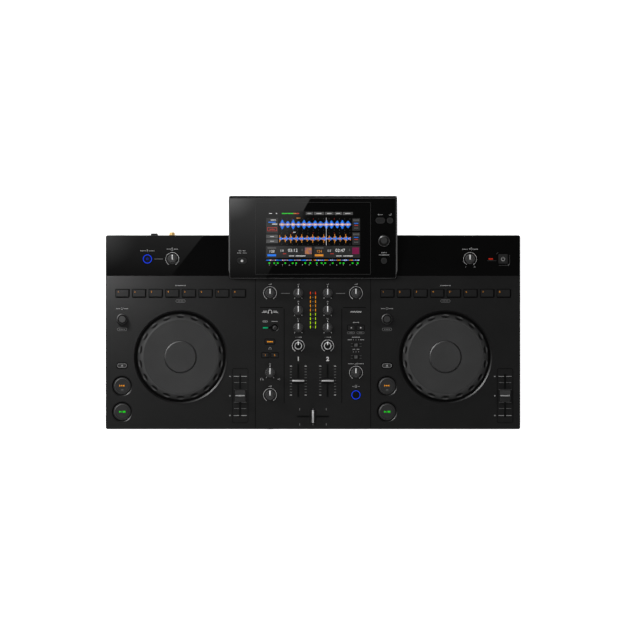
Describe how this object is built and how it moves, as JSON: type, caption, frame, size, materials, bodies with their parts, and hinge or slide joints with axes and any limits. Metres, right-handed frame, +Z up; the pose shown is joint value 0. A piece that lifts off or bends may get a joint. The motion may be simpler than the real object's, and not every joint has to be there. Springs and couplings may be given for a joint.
{
  "type": "all-in-one dj system",
  "caption": "All-in-one DJ system: wide flat console with dimpled jog wheels, pad rows, tempo faders, a central mixer and a tilted touch screen that overhangs the rear edge.",
  "frame": {"origin": "on the table, in the middle of the box round the whole object", "axes": "+X to the player's right along the width, +Y to the rear, +Z up from the table"},
  "size_m": [0.624, 0.3516, 0.0914],
  "materials": {
    "case": "fine matte texture, near black",
    "gloss": "polished black",
    "glass": "polished black touch glass over a lit picture",
    "board": "green solder mask",
    "jack_metal": "gold plated barrels, black collars",
    "foot_rubber": "matte",
    "screw": "black zinc",
    "lens": "lit translucent lens",
    "jog_rim": "satin",
    "jog_plate": "satin dark grey",
    "pad_rubber": "matte",
    "knob": "soft matte",
    "fader_cap": "matte with a light ridge",
    "button": "satin"
  },
  "bodies": {
    "console": {"bottom_case": "case", "top_panel": "case", "gloss_panel": "gloss", "display_stand": "case", "display_back": "case", "display_front": "gloss", "touch_screen": "glass", "control_boards": "board", "jacks": "jack_metal", "rubber_feet": "foot_rubber", "case_screws": "screw", "light_lenses": "lens"},
    "jog_left": {"jog_wheel_left": "jog_rim", "jog_plate_left": "jog_plate"},
    "jog_right": {"jog_wheel_right": "jog_rim", "jog_plate_right": "jog_plate"},
    "tempo_fader_left": {"tempo_fader_left": "fader_cap"},
    "tempo_fader_right": {"tempo_fader_right": "fader_cap"},
    "channel_fader_1": {"channel_fader_1": "fader_cap"},
    "channel_fader_2": {"channel_fader_2": "fader_cap"},
    "crossfader": {"crossfader": "fader_cap"},
    "mic_knob": {"mic_knob": "knob"},
    "master_knob": {"master_knob": "knob"},
    "trim_knob_1": {"trim_knob_1": "knob"},
    "high_knob_1": {"high_knob_1": "knob"},
    "mid_knob_1": {"mid_knob_1": "knob"},
    "low_knob_1": {"low_knob_1": "knob"},
    "color_knob_1": {"color_knob_1": "knob"},
    "trim_knob_2": {"trim_knob_2": "knob"},
    "high_knob_2": {"high_knob_2": "knob"},
    "mid_knob_2": {"mid_knob_2": "knob"},
    "low_knob_2": {"low_knob_2": "knob"},
    "color_knob_2": {"color_knob_2": "knob"},
    "phones_mix_knob": {"phones_mix_knob": "knob"},
    "phones_level_knob": {"phones_level_knob": "knob"},
    "fx_depth_knob": {"fx_depth_knob": "knob"},
    "loop_knob_left": {"loop_knob_left": "knob"},
    "loop_knob_right": {"loop_knob_right": "knob"},
    "browse_knob": {"browse_knob": "knob"},
    "hot_cue_pads_left": {"hot_cue_pads_left": "pad_rubber"},
    "hot_cue_pads_right": {"hot_cue_pads_right": "pad_rubber"},
    "shift_button_left": {"shift_button_left": "button"},
    "cue_button_left": {"cue_button_left": "button"},
    "play_button_left": {"play_button_left": "button"},
    "shift_button_right": {"shift_button_right": "button"},
    "cue_button_right": {"cue_button_right": "button"},
    "play_button_right": {"play_button_right": "button"},
    "phones_master_key": {"phones_master_key": "button"},
    "phones_cue_keys": {"phones_cue_keys": "button"},
    "link_button": {"link_button": "button"},
    "beat_keys": {"beat_keys": "button"},
    "fx_on_button": {"fx_on_button": "button"},
    "mic_button": {"mic_button": "button"},
    "power_button": {"power_button": "button"},
    "source_button": {"source_button": "button"},
    "back_button": {"back_button": "button"},
    "tag_button": {"tag_button": "button"},
    "menu_button": {"menu_button": "button"},
    "fx_type_switch": {"fx_type_switch": "fader_cap"},
    "fx_channel_switch": {"fx_channel_switch": "fader_cap"}
  },
  "joints": [
    {"name": "jog_left_turn", "type": "hinge", "parent": "console", "child": "jog_left", "pos_m": [-0.1994, -0.06681, 0.048], "axis": [0, 0, 1], "continuous": true},
    {"name": "jog_right_turn", "type": "hinge", "parent": "console", "child": "jog_right", "pos_m": [0.1994, -0.06681, 0.048], "axis": [0, 0, 1], "continuous": true},
    {"name": "tempo_fader_left_slide", "type": "slide", "parent": "console", "child": "tempo_fader_left", "axis": [0, 1, 0], "range_m": [-0.03, 0.03]},
    {"name": "tempo_fader_right_slide", "type": "slide", "parent": "console", "child": "tempo_fader_right", "axis": [0, 1, 0], "range_m": [-0.03, 0.03]},
    {"name": "channel_fader_1_slide", "type": "slide", "parent": "console", "child": "channel_fader_1", "axis": [0, 1, 0], "range_m": [-0.0225, 0.0225]},
    {"name": "channel_fader_2_slide", "type": "slide", "parent": "console", "child": "channel_fader_2", "axis": [0, 1, 0], "range_m": [-0.0225, 0.0225]},
    {"name": "crossfader_slide", "type": "slide", "parent": "console", "child": "crossfader", "axis": [1, 0, 0], "range_m": [-0.0225, 0.0225]},
    {"name": "mic_knob_turn", "type": "hinge", "parent": "console", "child": "mic_knob", "pos_m": [-0.2118, 0.08069, 0.048], "axis": [0, 0, 1], "range_deg": [-150, 150]},
    {"name": "master_knob_turn", "type": "hinge", "parent": "console", "child": "master_knob", "pos_m": [0.2365, 0.08069, 0.048], "axis": [0, 0, 1], "range_deg": [-150, 150]},
    {"name": "trim_knob_1_turn", "type": "hinge", "parent": "console", "child": "trim_knob_1", "pos_m": [-0.0647, 0.02929, 0.048], "axis": [0, 0, 1], "range_deg": [-150, 150]},
    {"name": "high_knob_1_turn", "type": "hinge", "parent": "console", "child": "high_knob_1", "pos_m": [-0.0221, 0.02929, 0.048], "axis": [0, 0, 1], "range_deg": [-150, 150]},
    {"name": "mid_knob_1_turn", "type": "hinge", "parent": "console", "child": "mid_knob_1", "pos_m": [-0.0221, 0.00329, 0.048], "axis": [0, 0, 1], "range_deg": [-150, 150]},
    {"name": "low_knob_1_turn", "type": "hinge", "parent": "console", "child": "low_knob_1", "pos_m": [-0.0221, -0.02271, 0.048], "axis": [0, 0, 1], "range_deg": [-150, 150]},
    {"name": "color_knob_1_turn", "type": "hinge", "parent": "console", "child": "color_knob_1", "pos_m": [-0.0221, -0.05011, 0.048], "axis": [0, 0, 1], "range_deg": [-150, 150]},
    {"name": "trim_knob_2_turn", "type": "hinge", "parent": "console", "child": "trim_knob_2", "pos_m": [0.0647, 0.02929, 0.048], "axis": [0, 0, 1], "range_deg": [-150, 150]},
    {"name": "high_knob_2_turn", "type": "hinge", "parent": "console", "child": "high_knob_2", "pos_m": [0.0221, 0.02929, 0.048], "axis": [0, 0, 1], "range_deg": [-150, 150]},
    {"name": "mid_knob_2_turn", "type": "hinge", "parent": "console", "child": "mid_knob_2", "pos_m": [0.0221, 0.00329, 0.048], "axis": [0, 0, 1], "range_deg": [-150, 150]},
    {"name": "low_knob_2_turn", "type": "hinge", "parent": "console", "child": "low_knob_2", "pos_m": [0.0221, -0.02271, 0.048], "axis": [0, 0, 1], "range_deg": [-150, 150]},
    {"name": "color_knob_2_turn", "type": "hinge", "parent": "console", "child": "color_knob_2", "pos_m": [0.0221, -0.05011, 0.048], "axis": [0, 0, 1], "range_deg": [-150, 150]},
    {"name": "phones_mix_knob_turn", "type": "hinge", "parent": "console", "child": "phones_mix_knob", "pos_m": [-0.0647, -0.09041, 0.048], "axis": [0, 0, 1], "range_deg": [-150, 150]},
    {"name": "phones_level_knob_turn", "type": "hinge", "parent": "console", "child": "phones_level_knob", "pos_m": [-0.0647, -0.12401, 0.048], "axis": [0, 0, 1], "range_deg": [-150, 150]},
    {"name": "fx_depth_knob_turn", "type": "hinge", "parent": "console", "child": "fx_depth_knob", "pos_m": [0.0647, -0.09041, 0.048], "axis": [0, 0, 1], "range_deg": [-150, 150]},
    {"name": "loop_knob_left_turn", "type": "hinge", "parent": "console", "child": "loop_knob_left", "pos_m": [-0.2874, -0.00991, 0.048], "axis": [0, 0, 1], "continuous": true},
    {"name": "loop_knob_right_turn", "type": "hinge", "parent": "console", "child": "loop_knob_right", "pos_m": [0.1114, -0.00991, 0.048], "axis": [0, 0, 1], "continuous": true},
    {"name": "browse_knob_turn", "type": "hinge", "parent": "console", "child": "browse_knob", "pos_m": [0.10685, 0.1094, 0.07463], "axis": [0, -0.2588, 0.9659], "continuous": true},
    {"name": "hot_cue_pads_left_press", "type": "slide", "parent": "console", "child": "hot_cue_pads_left", "axis": [0, 0, -1], "range_m": [0, 0.001], "stiffness_N_per_m": 400, "springref_m": -0.001},
    {"name": "hot_cue_pads_right_press", "type": "slide", "parent": "console", "child": "hot_cue_pads_right", "axis": [0, 0, -1], "range_m": [0, 0.001], "stiffness_N_per_m": 400, "springref_m": -0.001},
    {"name": "shift_button_left_press", "type": "slide", "parent": "console", "child": "shift_button_left", "axis": [0, 0, -1], "range_m": [0, 0.0008], "stiffness_N_per_m": 300, "springref_m": -0.001},
    {"name": "cue_button_left_press", "type": "slide", "parent": "console", "child": "cue_button_left", "axis": [0, 0, -1], "range_m": [0, 0.0012], "stiffness_N_per_m": 300, "springref_m": -0.001},
    {"name": "play_button_left_press", "type": "slide", "parent": "console", "child": "play_button_left", "axis": [0, 0, -1], "range_m": [0, 0.0012], "stiffness_N_per_m": 300, "springref_m": -0.001},
    {"name": "shift_button_right_press", "type": "slide", "parent": "console", "child": "shift_button_right", "axis": [0, 0, -1], "range_m": [0, 0.0008], "stiffness_N_per_m": 300, "springref_m": -0.001},
    {"name": "cue_button_right_press", "type": "slide", "parent": "console", "child": "cue_button_right", "axis": [0, 0, -1], "range_m": [0, 0.0012], "stiffness_N_per_m": 300, "springref_m": -0.001},
    {"name": "play_button_right_press", "type": "slide", "parent": "console", "child": "play_button_right", "axis": [0, 0, -1], "range_m": [0, 0.0012], "stiffness_N_per_m": 300, "springref_m": -0.001},
    {"name": "phones_master_key_press", "type": "slide", "parent": "console", "child": "phones_master_key", "axis": [0, 0, -1], "range_m": [0, 0.0008], "stiffness_N_per_m": 300, "springref_m": -0.001},
    {"name": "phones_cue_keys_press", "type": "slide", "parent": "console", "child": "phones_cue_keys", "axis": [0, 0, -1], "range_m": [0, 0.0008], "stiffness_N_per_m": 300, "springref_m": -0.001},
    {"name": "link_button_press", "type": "slide", "parent": "console", "child": "link_button", "axis": [0, 0, -1], "range_m": [0, 0.0008], "stiffness_N_per_m": 300, "springref_m": -0.001},
    {"name": "beat_keys_press", "type": "slide", "parent": "console", "child": "beat_keys", "axis": [0, 0, -1], "range_m": [0, 0.0008], "stiffness_N_per_m": 300, "springref_m": -0.001},
    {"name": "fx_on_button_press", "type": "slide", "parent": "console", "child": "fx_on_button", "axis": [0, 0, -1], "range_m": [0, 0.0008], "stiffness_N_per_m": 300, "springref_m": -0.001},
    {"name": "mic_button_press", "type": "slide", "parent": "console", "child": "mic_button", "axis": [0, 0, -1], "range_m": [0, 0.0008], "stiffness_N_per_m": 300, "springref_m": -0.001},
    {"name": "power_button_press", "type": "slide", "parent": "console", "child": "power_button", "axis": [0, 0, -1], "range_m": [0, 0.0016], "stiffness_N_per_m": 300, "springref_m": -0.001},
    {"name": "source_button_press", "type": "slide", "parent": "console", "child": "source_button", "axis": [0, 0.2588, -0.9659], "range_m": [0, 0.0006], "stiffness_N_per_m": 300, "springref_m": -0.001},
    {"name": "back_button_press", "type": "slide", "parent": "console", "child": "back_button", "axis": [0, 0.2588, -0.9659], "range_m": [0, 0.0006], "stiffness_N_per_m": 300, "springref_m": -0.001},
    {"name": "tag_button_press", "type": "slide", "parent": "console", "child": "tag_button", "axis": [0, 0.2588, -0.9659], "range_m": [0, 0.0006], "stiffness_N_per_m": 300, "springref_m": -0.001},
    {"name": "menu_button_press", "type": "slide", "parent": "console", "child": "menu_button", "axis": [0, 0.2588, -0.9659], "range_m": [0, 0.0006], "stiffness_N_per_m": 300, "springref_m": -0.001},
    {"name": "fx_type_switch_slide", "type": "slide", "parent": "console", "child": "fx_type_switch", "axis": [1, 0, 0], "range_m": [-0.004, 0.004]},
    {"name": "fx_channel_switch_slide", "type": "slide", "parent": "console", "child": "fx_channel_switch", "axis": [1, 0, 0], "range_m": [-0.004, 0.004]}
  ]
}
